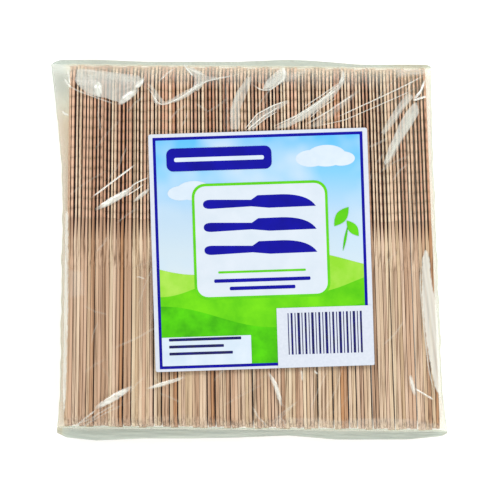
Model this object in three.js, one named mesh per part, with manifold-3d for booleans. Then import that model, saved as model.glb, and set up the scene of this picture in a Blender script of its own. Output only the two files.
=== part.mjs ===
// A pack of one hundred stamped birch knives. They stand on their backs, side by side, in a clear
// film bag with a paper label stuck on its front. The pack lies on its back: X runs across the
// knives, Y from the handle ends to the blade tips, and Z up through the front. Millimetres.
import * as THREE from "three";
import { ConvexGeometry } from "three/addons/geometries/ConvexGeometry.js";
import Module from "manifold-3d";

const wasm = await Module();
wasm.setup();

// One knife, seen from its flat side: length along Y, height from its back up to its edge.
const KNIFE_COUNT = 100;
const KNIFE_LENGTH = 165;
const KNIFE_THICKNESS = 1.6;
const BLADE_LENGTH = 80;
const BLADE_HEIGHT = 20.5;
const TIP_HEIGHT = 8; // the foremost point of the tip, above the back
const TIP_EDGE_ROUND = 13; // how far back the tip's round reaches on the cutting edge
const TIP_BACK_ROUND = 9; // and on the back
const HEEL_SLOPE = 13; // from the end of the blade down to the neck
const NECK_DROP = 2.3; // the neck's edge, below the cutting edge
const NECK_HOLLOW = 3; // the neck's back, above the blade's back
const BUTT_DROP = 0.4; // the handle's end, below the cutting edge
const BUTT_ROUND = 7;
const TRIM_TOLERANCE = 0.25; // every second knife is stamped this much lower
const CURVE_STEPS = 3;

// Both faces of the blade are ground towards the cutting edge.
const BEVEL_HEIGHT = 6;
const EDGE_THICKNESS = 0.8;
const BEVEL_RUNOUT = 11; // the bevel narrows to nothing over this length before the heel

// The row of knives. It is squeezed at the tips and fans out at the handles.
const CLOSE_GAP = 0.05; // between pairs that touch
const OPEN_GAP = 0.5; // between handles that stand apart
// An open gap follows after each of these counts of pairs.
const OPEN_AFTER_COUNTS = [4, 8, 9, 12, 13, 14, 15, 19, 20, 22, 25, 34, 36, 38, 39, 41, 44, 47];
const TIP_OFFSET = -0.9; // the row is pushed askew: middle of the tips, from the middle of the bag
const BUTT_OFFSET = 1.5;
const ROW_SLIP = 0.0105; // each knife lies this much lower per millimetre to its right
const LOOSE_SLIP = 0.35; // and up to this much out of line with its neighbours

// The bag. It is heat-sealed flat across both ends, and the seal stands out at the corners as ears.
const FILM = 0.3;
const FIT = 0.3; // from the knives to the film at the sides and ends
const SEAL_LIP = 0.1; // what is left of the hollow where the two layers meet
const TIP_SEAL = 1.8; // width of the seal beyond the tips
const BUTT_SEAL = 4.4; // and beyond the handles
const SIDE_PUFF = 1.8; // how far the sides bulge halfway down
const EAR_LENGTH = 34;
const EARS = { tipLeft: 8.3, tipRight: 2.8, buttLeft: 3.1, buttRight: 3.1 };
const SEAL_WAVE = 0.7; // the seals' edges run in and out by this much
const SEAL_WAVES = 2.5; // waves across the bag
const FILM_COLUMNS = 12;
const BODY_ROWS = 6;
const VENT_DIAMETER = 5; // a punched hole in the back, which lets the air out
const VENT_PLACE = { x: 48, y: -52 };

// The label.
const LABEL_WIDTH = 100;
const LABEL_HEIGHT = 108.5;
const LABEL_THICKNESS = 0.2;
const LABEL_CORNER = 1;
const LABEL_PLACE = { x: 5.6, y: -1 };
const LABEL_TURN = THREE.MathUtils.degToRad(1.85);

// Places that follow from the sizes above.
const KNIFE_END = KNIFE_LENGTH / 2;
const HEEL = KNIFE_END - BLADE_LENGTH;
const BUTT_HEIGHT = BLADE_HEIGHT - BUTT_DROP;
const PAIR_COUNT = KNIFE_COUNT / 2;
const PAIR_THICKNESS = 2 * KNIFE_THICKNESS;
const FRONT = FILM + BLADE_HEIGHT + FIT + FILM; // outside of the bag's front

// A closed geometry as a solid, with one vertex at each corner.
function solidOf(geometry) {
  const position = geometry.getAttribute("position");
  const corners = new Map();
  const vertices = [];
  const triangles = [];
  const order = geometry.index ? geometry.index.array : position.array.map((_, i) => i).slice(0, position.count);
  for (const i of order) {
    const point = [position.getX(i), position.getY(i), position.getZ(i)].map(Math.fround);
    const key = point.map((c) => c.toFixed(4)).join();
    if (!corners.has(key)) {
      corners.set(key, corners.size);
      vertices.push(...point);
    }
    triangles.push(corners.get(key));
  }
  return new wasm.Manifold(
    new wasm.Mesh({
      numProp: 3,
      vertProperties: new Float32Array(vertices),
      triVerts: new Uint32Array(triangles),
    }),
  );
}

function geometryOf(solid) {
  const made = solid.getMesh();
  const geometry = new THREE.BufferGeometry();
  geometry.setAttribute("position", new THREE.BufferAttribute(made.vertProperties, made.numProp));
  geometry.setIndex(new THREE.BufferAttribute(made.triVerts, 1));
  const faceted = geometry.toNonIndexed();
  faceted.computeVertexNormals();
  return faceted;
}

// A shape drawn with Y to its right and Z up, as a plate that runs from x to x + thickness.
function plate(shape, thickness, x) {
  const geometry = new THREE.ExtrudeGeometry(shape, {
    depth: thickness,
    bevelEnabled: false,
    curveSegments: CURVE_STEPS,
  });
  const turn = new THREE.Matrix4().makeBasis(
    new THREE.Vector3(0, 1, 0),
    new THREE.Vector3(0, 0, 1),
    new THREE.Vector3(1, 0, 0),
  );
  return solidOf(geometry.applyMatrix4(turn).translate(x, 0, 0));
}

function knifeOutline(trim) {
  const edge = BLADE_HEIGHT - trim;
  const butt = BUTT_HEIGHT - trim;
  const neck = BLADE_HEIGHT - NECK_DROP - trim;
  const neckEnd = HEEL - HEEL_SLOPE;
  const handleMiddle = (neckEnd - KNIFE_END + BUTT_ROUND) / 2;
  const shape = new THREE.Shape();
  shape.moveTo(-KNIFE_END, butt / 2);
  shape.quadraticCurveTo(-KNIFE_END, 0, -KNIFE_END + BUTT_ROUND, 0);
  shape.quadraticCurveTo(neckEnd, 2 * NECK_HOLLOW, HEEL + HEEL_SLOPE, 0);
  shape.lineTo(KNIFE_END - TIP_BACK_ROUND, 0);
  shape.quadraticCurveTo(KNIFE_END, 0, KNIFE_END, TIP_HEIGHT);
  shape.quadraticCurveTo(KNIFE_END, edge, KNIFE_END - TIP_EDGE_ROUND, edge);
  shape.lineTo(HEEL, edge);
  shape.lineTo(neckEnd, neck);
  shape.quadraticCurveTo(handleMiddle, neck, -KNIFE_END + BUTT_ROUND, butt);
  shape.quadraticCurveTo(-KNIFE_END, butt, -KNIFE_END, butt / 2);
  return shape;
}

// What the grinder takes off one face of a blade. side is 1 for the face towards +X, -1 for the other.
function bevelCut(middle, side, trim) {
  const face = KNIFE_THICKNESS / 2;
  const slope = (face - EDGE_THICKNESS / 2) / BEVEL_HEIGHT; // inwards for each millimetre up
  const edge = BLADE_HEIGHT - trim;
  const over = 1; // how far the cut runs past the wood
  const points = [];
  for (const y of [HEEL + BEVEL_RUNOUT, KNIFE_END + over]) {
    points.push([face, y, edge - BEVEL_HEIGHT]);
    points.push([face - slope * (BEVEL_HEIGHT + over), y, edge + over]);
    points.push([face + over, y, edge + over]);
    points.push([face + over, y, edge - BEVEL_HEIGHT]);
  }
  points.push([face, HEEL, edge]);
  points.push([face + over, HEEL, edge]);
  points.push([face + over, HEEL, edge + over]);
  points.push([face, HEEL, edge + over]);
  return solidOf(
    new ConvexGeometry(points.map(([x, y, z]) => new THREE.Vector3(middle + side * x, y, z))),
  );
}

// One knife, standing on its back, with the middle of its thickness at x = middle.
function knife(middle, trim) {
  return plate(knifeOutline(trim), KNIFE_THICKNESS, middle - KNIFE_THICKNESS / 2)
    .subtract(bevelCut(middle, 1, trim))
    .subtract(bevelCut(middle, -1, trim));
}

// Where the left face of the row's pair k is, at the tips and at the handles' ends.
function rowStart(k) {
  const opened = OPEN_AFTER_COUNTS.filter((after) => after <= k).length;
  const tipWidth = PAIR_COUNT * PAIR_THICKNESS + (PAIR_COUNT - 1) * CLOSE_GAP;
  const buttWidth = tipWidth + OPEN_AFTER_COUNTS.length * OPEN_GAP;
  return {
    tip: TIP_OFFSET - tipWidth / 2 + k * (PAIR_THICKNESS + CLOSE_GAP),
    butt: BUTT_OFFSET - buttWidth / 2 + k * (PAIR_THICKNESS + CLOSE_GAP) + opened * OPEN_GAP,
  };
}

// Where along Y a knife at x lies, from the middle of the bag.
function rowShift(x) {
  return -ROW_SLIP * x;
}

// Two neighbours, pressed flat against each other, as one solid in its place in the row.
function knifePair(k) {
  const start = rowStart(k);
  const tip = start.tip + KNIFE_THICKNESS;
  const butt = start.butt + KNIFE_THICKNESS;
  const solid = knife(-KNIFE_THICKNESS / 2, 0).add(knife(KNIFE_THICKNESS / 2, TRIM_TOLERANCE));
  const colour = new THREE.Color(0xd6b08a).offsetHSL(0, 0, 0.04 * Math.sin(2.4 * k));
  const material = new THREE.MeshStandardMaterial({ color: colour, roughness: 0.75, metalness: 0 });
  const mesh = new THREE.Mesh(geometryOf(solid), material);
  const x = (tip + butt) / 2;
  mesh.name = `knife_pair_${String(k + 1).padStart(2, "0")}`;
  mesh.position.set(x, rowShift(x) + LOOSE_SLIP * Math.sin(1.7 * k), FILM);
  mesh.rotation.z = -Math.atan2(tip - butt, KNIFE_LENGTH);
  return mesh;
}

// The row's outer faces at y, as the bag's sides see them.
function rowFaces(y) {
  const along = THREE.MathUtils.clamp((y + KNIFE_END) / KNIFE_LENGTH, 0, 1);
  const first = rowStart(0);
  const last = rowStart(PAIR_COUNT - 1);
  return {
    left: THREE.MathUtils.lerp(first.butt, first.tip, along),
    right: THREE.MathUtils.lerp(last.butt, last.tip, along) + PAIR_THICKNESS,
  };
}

// How far the bag's side stands out halfway down, at y.
function puff(y, side) {
  const ear = EARS[(y > 0 ? "tip" : "butt") + side];
  const share = THREE.MathUtils.clamp((Math.abs(y) - KNIFE_END + EAR_LENGTH) / EAR_LENGTH, 0, 1);
  return SIDE_PUFF + (ear - SIDE_PUFF) * share ** 1.5;
}

// One end of the bag as three profiles from the body to the seal's edge: front, back and side fold.
// inset is 0 for the outside of the film, and FILM for the hollow.
function endRows(direction, inset) {
  const tip = direction > 0;
  const top = FRONT - inset;
  const seal = FILM + (tip ? TIP_HEIGHT : BUTT_HEIGHT / 2);
  const half = inset ? SEAL_LIP / 2 : FILM;
  const reach = KNIFE_END + LOOSE_SLIP + FIT;
  const frontStart = reach - (tip ? TIP_EDGE_ROUND : BUTT_ROUND);
  const backStart = reach - (tip ? TIP_BACK_ROUND : BUTT_ROUND);
  const wall = reach + FILM - inset;
  const curve = (start, from, to) =>
    new THREE.QuadraticBezierCurve(
      new THREE.Vector2(start, from),
      new THREE.Vector2(wall, from),
      new THREE.Vector2(wall, to),
    ).getPoints(CURVE_STEPS);
  const front = curve(frontStart, top, seal + half);
  const back = curve(backStart, inset, seal - half);
  const rows = front.map((point, i) => ({ front: point, back: back[i] }));
  if (!inset) {
    const out = wall + (tip ? TIP_SEAL : BUTT_SEAL);
    rows.push({
      front: new THREE.Vector2(out, seal + half),
      back: new THREE.Vector2(out, seal - half),
    });
  }
  return rows.map((row, i) => ({
    front: { y: direction * row.front.x, z: row.front.y },
    back: { y: direction * row.back.x, z: row.back.y },
    fold: { y: (direction * (row.front.x + row.back.x)) / 2, z: seal },
    wave: inset || i < rows.length - 1 ? 0 : 1,
  }));
}

// The bag's surface as rings round its girth, from the handles' end to the tips' end.
function skin(inset) {
  const butt = endRows(-1, inset).reverse();
  const tip = endRows(1, inset);
  const from = butt[butt.length - 1];
  const to = tip[0];
  const body = [];
  for (let i = 1; i < BODY_ROWS; i++) {
    const mix = (a, b) => ({
      y: THREE.MathUtils.lerp(a.y, b.y, i / BODY_ROWS),
      z: THREE.MathUtils.lerp(a.z, b.z, i / BODY_ROWS),
    });
    body.push({
      front: mix(from.front, to.front),
      back: mix(from.back, to.back),
      fold: mix(from.fold, to.fold),
      wave: 0,
    });
  }
  const rings = [...butt, ...body, ...tip].map((row) => {
    const side = (at, name) => {
      const faces = rowFaces(at.y);
      const out = FIT + FILM - inset;
      return name === "Left" ? faces.left - out : faces.right + out;
    };
    const across = (at, i) => {
      const x = THREE.MathUtils.lerp(side(at, "Left"), side(at, "Right"), i / FILM_COLUMNS);
      const wave = row.wave * SEAL_WAVE * Math.sin((2 * Math.PI * SEAL_WAVES * i) / FILM_COLUMNS);
      return new THREE.Vector3(x, at.y + rowShift(x) + Math.sign(at.y) * wave, at.z);
    };
    const fold = (name, sign) => {
      const x = side(row.fold, name) + sign * (puff(row.fold.y, name) - inset);
      return new THREE.Vector3(x, row.fold.y + rowShift(x), row.fold.z);
    };
    const columns = Array.from({ length: FILM_COLUMNS + 1 }, (_, i) => i);
    return [
      ...columns.map((i) => across(row.front, i)),
      fold("Right", 1),
      ...columns.reverse().map((i) => across(row.back, i)),
      fold("Left", -1),
    ];
  });
  return ringSurface(rings);
}

// A closed surface from rings of equally many points. Each ring runs along the front from left to
// right, over the right fold, back along the back and over the left fold.
function ringSurface(rings) {
  const count = rings[0].length;
  const triangles = [];
  const quad = (a, b, c, d) => triangles.push(a, b, c, a, c, d);
  for (let j = 0; j + 1 < rings.length; j++) {
    for (let i = 0; i < count; i++) {
      const next = (i + 1) % count;
      quad(j * count + i, j * count + next, (j + 1) * count + next, (j + 1) * count + i);
    }
  }
  const last = (rings.length - 1) * count;
  const rightFold = FILM_COLUMNS + 1;
  const leftFold = count - 1;
  for (let i = 0; i < FILM_COLUMNS; i++) {
    const opposite = leftFold - 1 - i;
    quad(last + i, last + i + 1, last + opposite - 1, last + opposite);
    quad(opposite, opposite - 1, i + 1, i);
  }
  triangles.push(last + rightFold - 1, last + rightFold, last + rightFold + 1);
  triangles.push(rightFold + 1, rightFold, rightFold - 1);
  triangles.push(last + leftFold - 1, last + leftFold, last);
  triangles.push(0, leftFold, leftFold - 1);
  const geometry = new THREE.BufferGeometry().setFromPoints(rings.flat());
  geometry.setIndex(triangles);
  return solidOf(geometry);
}

function filmBag() {
  const punch = new THREE.CylinderGeometry(VENT_DIAMETER / 2, VENT_DIAMETER / 2, 3 * FILM, 12);
  punch.rotateX(Math.PI / 2).translate(VENT_PLACE.x, VENT_PLACE.y, FILM / 2);
  const solid = skin(0).subtract(skin(FILM)).subtract(solidOf(punch));
  const material = new THREE.MeshStandardMaterial({
    color: 0xe8f0e4,
    roughness: 0.12,
    metalness: 0,
    transparent: true,
    opacity: 0.25,
  });
  const mesh = new THREE.Mesh(geometryOf(solid), material);
  mesh.name = "film_bag";
  return mesh;
}

function label() {
  const [w, h, r] = [LABEL_WIDTH / 2, LABEL_HEIGHT / 2, LABEL_CORNER];
  const shape = new THREE.Shape();
  shape.moveTo(-w + r, -h);
  shape.lineTo(w - r, -h);
  shape.absarc(w - r, -h + r, r, -Math.PI / 2, 0);
  shape.absarc(w - r, h - r, r, 0, Math.PI / 2);
  shape.absarc(-w + r, h - r, r, Math.PI / 2, Math.PI);
  shape.absarc(-w + r, -h + r, r, Math.PI, 1.5 * Math.PI);
  const geometry = new THREE.ExtrudeGeometry(shape, {
    depth: LABEL_THICKNESS,
    bevelEnabled: false,
    curveSegments: CURVE_STEPS,
  });
  const material = new THREE.MeshStandardMaterial({ color: 0xe4e8ee, roughness: 0.45, metalness: 0 });
  const mesh = new THREE.Mesh(geometry, material);
  mesh.name = "label";
  mesh.position.set(LABEL_PLACE.x, LABEL_PLACE.y, FRONT);
  mesh.rotation.z = LABEL_TURN;
  return mesh;
}

const pack = new THREE.Group();
pack.add(filmBag(), label());
for (let k = 0; k < PAIR_COUNT; k++) {
  pack.add(knifePair(k));
}

// The origin is under the middle of the whole pack.
const bounds = new THREE.Box3().setFromObject(pack, true);
const centre = bounds.getCenter(new THREE.Vector3());
pack.position.set(-centre.x, -centre.y, 0);

export default pack;
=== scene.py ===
# %% [markdown]
# # Birch knives in a clear film bag
# A hundred stamped birch knives stand on their backs in one row. A tube of clear film holds them, sealed
# flat across both ends, and a printed paper label is stuck on its front. The pack lies on its back, and we
# look straight down on the knives' cutting edges. Everything here is in metres, in the frame of the packed
# model: X runs across the knives, Y from the handles to the blade tips, and Z up through the label. A size
# is written as so many times MM, or as a plain number of millimetres that is multiplied by MM where it is
# used.

# %% Load the fixed frame
import math
import random

import bpy
import numpy as np
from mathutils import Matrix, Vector
from mathutils.bvhtree import BVHTree


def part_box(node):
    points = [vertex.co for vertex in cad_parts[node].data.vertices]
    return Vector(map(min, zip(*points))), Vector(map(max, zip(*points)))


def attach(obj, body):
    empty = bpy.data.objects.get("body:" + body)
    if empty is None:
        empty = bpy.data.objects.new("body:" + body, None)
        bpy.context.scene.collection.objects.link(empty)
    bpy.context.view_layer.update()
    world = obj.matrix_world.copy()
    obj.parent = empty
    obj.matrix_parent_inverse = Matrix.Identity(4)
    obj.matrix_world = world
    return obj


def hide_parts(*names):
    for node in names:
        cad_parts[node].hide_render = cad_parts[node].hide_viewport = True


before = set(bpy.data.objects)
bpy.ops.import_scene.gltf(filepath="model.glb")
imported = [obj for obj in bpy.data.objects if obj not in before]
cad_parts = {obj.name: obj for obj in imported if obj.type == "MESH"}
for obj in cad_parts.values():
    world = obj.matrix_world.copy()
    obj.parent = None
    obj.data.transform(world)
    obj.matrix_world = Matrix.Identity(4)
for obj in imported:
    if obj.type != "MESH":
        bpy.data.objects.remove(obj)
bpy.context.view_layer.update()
MM = 0.001
pairs = [name for name in sorted(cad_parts) if name.startswith("knife_pair_")]
KNIFE_COUNT = 2 * len(pairs)
print("it holds", len(pairs), "pairs of knives")

# %% [markdown]
# ## The camera
# The label's sides are parallel in the photograph, so the camera hung straight above the pack, far enough
# away that the row of knives shows no perspective. A very long lens at 4 m gives that. Its focal length
# follows from how wide a strip the picture spans at the height of the cutting edges.

# %% Hang the camera above the pack
PICTURE_SPAN = 228.3 * MM
CAMERA_RISE = 4
CAMERA_PLACE = (0.45 * MM, 0.25 * MM)
SENSOR_WIDTH = 36
EDGE_HEIGHT = 20.8 * MM

camera_data = bpy.data.cameras.new("overhead_camera")
camera_data.sensor_width = SENSOR_WIDTH
camera_data.lens = SENSOR_WIDTH * CAMERA_RISE / PICTURE_SPAN
camera = bpy.data.objects.new("overhead_camera", camera_data)
camera.location = (*CAMERA_PLACE, EDGE_HEIGHT + CAMERA_RISE)
bpy.context.scene.collection.objects.link(camera)
bpy.context.scene.camera = camera
print("the lens is", round(camera_data.lens, 1), "mm long")

# %% [markdown]
# ## Three small helpers
# A mesh in Blender is a list of points and a list of faces that name them. One helper makes such a mesh
# and ties it to the frame's only body. The second writes a number on each point of a mesh, or on each corner
# of its faces. Such a number is an attribute, and a material can read it. The third turns a 0 to 255 colour,
# as a screen shows it, into the linear light that a shader works in.

# %% Make a piece, note numbers on it, and read a colour
def make_piece(name, points, faces, materials, face_materials=None, smooth=False):
    mesh = bpy.data.meshes.new(name)
    mesh.from_pydata([tuple(p) for p in points], [], [tuple(f) for f in faces])
    for material in materials:
        mesh.materials.append(material)
    if face_materials is not None:
        mesh.polygons.foreach_set("material_index", face_materials)
    mesh.polygons.foreach_set("use_smooth", [smooth] * len(mesh.polygons))
    mesh.update()
    piece = bpy.data.objects.new(name, mesh)
    bpy.context.scene.collection.objects.link(piece)
    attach(piece, "root")
    return piece


def note(piece, name, values, domain="POINT"):
    layer = piece.data.attributes.new(name, "FLOAT", domain)
    layer.data.foreach_set("value", values)


def screen_colour(red, green, blue):
    linear = [c / 255 / 12.92 if c < 11 else ((c / 255 + 0.055) / 1.055) ** 2.4 for c in (red, green, blue)]
    return (*linear, 1)


print("mid grey on a screen is", round(screen_colour(128, 128, 128)[0], 3), "of full light")

# %% [markdown]
# ## Where each knife stands
# The row is squeezed at the tips and fans out at the handles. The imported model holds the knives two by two,
# so each pair's own points say where its middle runs at the tips and at the handles' ends. The row also
# lies a touch askew, and a straight line through the pairs' middles tells by how much.

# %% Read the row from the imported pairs
KNIFE_LENGTH = 165 * MM
KNIFE_END = KNIFE_LENGTH / 2
KNIFE_THICKNESS = 1.6 * MM
FILM = 0.3 * MM
END_TOLERANCE = 0.3 * MM


def pair_line(name):
    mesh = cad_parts[name].data
    points = np.array([v.co for v in mesh.vertices])
    high, low = points[:, 1].max(), points[:, 1].min()
    tip = points[points[:, 1] > high - END_TOLERANCE]
    butt = points[points[:, 1] < low + END_TOLERANCE]
    return tip[:, 0].mean(), butt[:, 0].mean(), (high + low) / 2


row = np.array([pair_line(name) for name in pairs])
row = row[np.argsort(row[:, 0])]
ROW_SLIP, ROW_MIDDLE = np.polyfit((row[:, 0] + row[:, 1]) / 2, row[:, 2], 1)
tips_width, butts_width = row[-1, :2] - row[0, :2] + 2 * KNIFE_THICKNESS
print("the row is", round(tips_width / MM, 1), "mm wide at the tips")
print("and", round(butts_width / MM, 1), "mm at the handles")

# %% [markdown]
# ## Nodes for the materials
# A material is a small network of nodes. Every node is added the same way: name its kind, then give each of
# its inputs either a plain value or the output of another node. With that one function, noise, colour
# ramps, blends and bumps become one line each. The colour blend has inputs of several types under one name,
# so it is wired by the numbers of its colour sockets.

# %% Set out the shader tools
MIX_FACTOR, MIX_FIRST, MIX_SECOND, MIX_RESULT = 0, 6, 7, 2
WHITE = (1, 1, 1, 1)


def new_material(name):
    material = bpy.data.materials.new(name)
    material.use_nodes = True
    return material, material.node_tree, material.node_tree.nodes["Principled BSDF"]


def plug(tree, node, sockets):
    for socket, value in sockets.items():
        if isinstance(value, bpy.types.NodeSocket):
            tree.links.new(value, node.inputs[socket])
        else:
            node.inputs[socket].default_value = value


def add(tree, kind, sockets, **settings):
    node = tree.nodes.new("ShaderNode" + kind)
    for name, value in settings.items():
        setattr(node, name, value)
    plug(tree, node, sockets)
    return node.outputs


def place_on_object(tree):
    return add(tree, "TexCoord", {})["Object"]


def attribute(tree, name):
    return add(tree, "Attribute", {}, attribute_name=name)


def noise(tree, vector, scale, detail=4, roughness=0.6):
    sockets = {"Vector": vector, "Scale": scale, "Detail": detail, "Roughness": roughness}
    return add(tree, "TexNoise", sockets)["Fac"]


def bump(tree, height, strength, distance):
    return add(tree, "Bump", {"Height": height, "Strength": strength, "Distance": distance})["Normal"]


def mix(tree, fac, first, second, how="MIX"):
    sockets = {MIX_FACTOR: fac, MIX_FIRST: first, MIX_SECOND: second}
    return add(tree, "Mix", sockets, data_type="RGBA", blend_type=how)[MIX_RESULT]


def ramp(tree, fac, *stops):
    node = tree.nodes.new("ShaderNodeValToRGB")
    elements = node.color_ramp.elements
    while len(elements) < len(stops):
        elements.new(0.5)
    for element, (position, colour) in zip(elements, stops):
        element.position = position
        element.color = colour
    tree.links.new(fac, node.inputs["Fac"])
    return node.outputs["Color"]


print("a colour blend takes its factor and colours at sockets", MIX_FACTOR, MIX_FIRST, "and", MIX_SECOND)

# %% [markdown]
# ## The birch
# Cutlery birch is pale, and what we see of each knife is its sawn edge: fine light and dark lines that run
# along the knife, because the veneer's layers end there. Two noises stretched far along Y draw those lines,
# a fine one and a broad one. Every knife carries a number of its own, its tone, that makes some knives
# pinker or darker than their neighbours and slides the noise so that no two are alike. The ground blade is
# paler than the sawn wood. Where the blades stand close and shade each other, that shade is painted: the
# wood between them is painted dark red.

# %% Mix the birch
GRAIN_STRETCH = (1, 0.005, 0.35)
TONE_SLIDE = (2.0, 2.0, 2.0)


def birch_material():
    material, tree, wood = new_material("birch")
    tone = attribute(tree, "tone")
    slide = {0: tone["Vector"], 1: TONE_SLIDE, 2: place_on_object(tree)}
    slid = add(tree, "VectorMath", slide, operation="MULTIPLY_ADD")["Vector"]
    grain = add(tree, "Mapping", {"Vector": slid, "Scale": GRAIN_STRETCH})["Vector"]
    fine = noise(tree, grain, scale=1500, roughness=0.62)
    broad = noise(tree, grain, scale=330)
    sawn = ramp(
        tree, tone["Fac"],
        (0.0, screen_colour(196, 142, 100)),
        (0.07, screen_colour(206, 168, 140)),
        (0.3, screen_colour(220, 184, 160)),
        (0.5, screen_colour(223, 195, 164)),
        (0.75, screen_colour(232, 201, 180)),
        (1.0, screen_colour(240, 217, 190)))
    ground_wood = ramp(
        tree, tone["Fac"],
        (0.0, screen_colour(225, 168, 139)),
        (0.3, screen_colour(250, 205, 179)),
        (1.0, screen_colour(255, 231, 206)))
    ground_and_gap_shade = attribute(tree, "ground")["Fac"]
    shade = add(tree, "MapRange", {"Value": ground_and_gap_shade, "From Min": -1, "From Max": 0})["Result"]
    # Painted shade: below 0 the number paints the bevels between blades and the notches dark red.
    painted_gap_shade = ramp(tree, shade, (0.0, (0.46, 0.13, 0.1, 1)), (0.8, (0.68, 0.43, 0.34, 1)), (1.0, WHITE))
    lines = ramp(tree, fine, (0.35, (0.3, 0.235, 0.19, 1)), (0.47, (0.8, 0.77, 0.74, 1)), (0.59, WHITE))
    cloud = ramp(tree, broad, (0.34, (0.84, 0.76, 0.7, 1)), (0.5, (0.97, 0.955, 0.94, 1)), (0.62, WHITE))
    base = mix(tree, 1.0, mix(tree, ground_and_gap_shade, sawn, ground_wood), painted_gap_shade, "MULTIPLY")
    lined = mix(tree, attribute(tree, "sawn")["Fac"], base, mix(tree, 1.0, base, lines, "MULTIPLY"))
    plug(tree, wood, {
        "Base Color": mix(tree, 0.85, lined, cloud, "MULTIPLY"),
        "Roughness": 0.72,
        "Specular IOR Level": 0.3,
        "Normal": bump(tree, fine, strength=0.35, distance=0.08 * MM)})
    return material


birch = birch_material()
print("the birch uses", len(birch.node_tree.nodes), "nodes")

# %% [markdown]
# ## The outline of a knife
# Seen from its flat side a knife is a blade with a rounded tip, a sloping heel, a slim neck and a handle
# that widens again. Curves that start and end along straight stretches are drawn as quadratic Bezier
# curves: two ends and one corner point that pulls the curve.

# %% Draw one knife from the side
BLADE_HEIGHT = 20.5 * MM
BLADE_LENGTH = 80 * MM
HEEL = KNIFE_END - BLADE_LENGTH
HEEL_SLOPE = 4 * MM
NECK_END = HEEL - 13 * MM
NECK_HEIGHT = BLADE_HEIGHT - 2.3 * MM
HOLLOW_START = HEEL + 13 * MM
HOLLOW_PULL = 6 * MM
BUTT_HEIGHT = BLADE_HEIGHT - 0.4 * MM
BUTT_ROUND = 7 * MM
BUTT_START = -KNIFE_END + BUTT_ROUND
TIP_CURVE = 13 * MM
TIP_HEIGHT = 8 * MM
TIP_BACK = 9 * MM


def bend(start, corner, end, steps):
    t = np.linspace(0, 1, steps + 1)[:, None]
    start, corner, end = map(np.array, (start, corner, end))
    return (1 - t) ** 2 * start + 2 * t * (1 - t) * corner + t ** 2 * end


def knife_outline():
    slimmest = ((NECK_END - KNIFE_END + BUTT_ROUND) / 2, NECK_HEIGHT)
    edge = [
        bend((-KNIFE_END, BUTT_HEIGHT / 2), (-KNIFE_END, BUTT_HEIGHT), (BUTT_START, BUTT_HEIGHT), 8),
        bend((BUTT_START, BUTT_HEIGHT), slimmest, (NECK_END, NECK_HEIGHT), 12),
        bend((NECK_END, NECK_HEIGHT), (HEEL - HEEL_SLOPE, BLADE_HEIGHT), (HEEL, BLADE_HEIGHT), 5),
        np.array([(HEEL, BLADE_HEIGHT), (KNIFE_END - TIP_CURVE, BLADE_HEIGHT)]),
        bend((KNIFE_END - TIP_CURVE, BLADE_HEIGHT), (KNIFE_END, BLADE_HEIGHT), (KNIFE_END, TIP_HEIGHT), 24),
    ]
    back = [
        bend((KNIFE_END, TIP_HEIGHT), (KNIFE_END, 0), (KNIFE_END - TIP_BACK, 0), 7),
        bend((HOLLOW_START, 0), (NECK_END, HOLLOW_PULL), (BUTT_START, 0), 12),
        bend((BUTT_START, 0), (-KNIFE_END, 0), (-KNIFE_END, BUTT_HEIGHT / 2), 7),
    ]
    return np.vstack(edge), np.vstack(back)


edge_line, back_line = knife_outline()
print("the outline runs from", edge_line.min(0) / MM, "to", edge_line.max(0) / MM, "mm")

# %% [markdown]
# ## Walking along a line
# Teeth, creases and the film's edge all need points at even steps along a line. These helpers measure how
# far each point of a line is from its start, set new points at any distances, find the direction that
# points inward, and leave out a point that repeats the one before it. The last one answers how far a number
# has risen from a start, as a share from 0 to 1.

# %% Measure and resample lines
SAME_POINT = 1e-7


def along(line):
    return np.concatenate([[0], np.cumsum(np.linalg.norm(np.diff(line, axis=0), axis=1))])


def resample(line, stations):
    distance = along(line)
    return np.column_stack([np.interp(stations, distance, line[:, i]) for i in (0, 1)])


def inward(line):
    step = np.gradient(line, axis=0)
    step /= np.linalg.norm(step, axis=1)[:, None] + 1e-12
    return np.column_stack([step[:, 1], -step[:, 0]])


def without_repeats(line):
    return line[np.diff(along(line), prepend=-1) > SAME_POINT]


def rising(values, start, width):
    return np.clip((values - start) / width, 0, 1)


print("the cutting edge is", round(along(edge_line)[-1] / MM, 1), "mm long, tip and handle included")

# %% [markdown]
# ## Teeth and bevels
# The cutting edge is ground thin from both faces, and a press has bitten small rounded notches into it,
# 4.64 mm apart. We walk along the edge in twelve steps for each notch, so the notches can start at any
# twelfth and still be even round the tip. Every point on the outline also gets the number "ground", from 0
# on the handle to 1 on the bevel. It says how far in the bevel reaches and how thin the wood is at the
# edge, and away from the blade the same recipe takes the sharpness off the handle.

# %% Set the teeth and the bevels
TOOTH_PITCH = 4.64 * MM
TOOTH_DEPTH = 0.45 * MM
TOOTH_STEPS = 12
TOOTH_ROUNDNESS = 1.1
TOOTHED_FROM = KNIFE_END - 70 * MM
TOOTHLESS_TIP = 9 * MM
TOOTH_CLEARANCE = 0.2 * MM
FIRST_BITE = 0.87
BEVEL_RUNOUT = 11 * MM
BEVEL_TIP = 7 * MM


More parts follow.
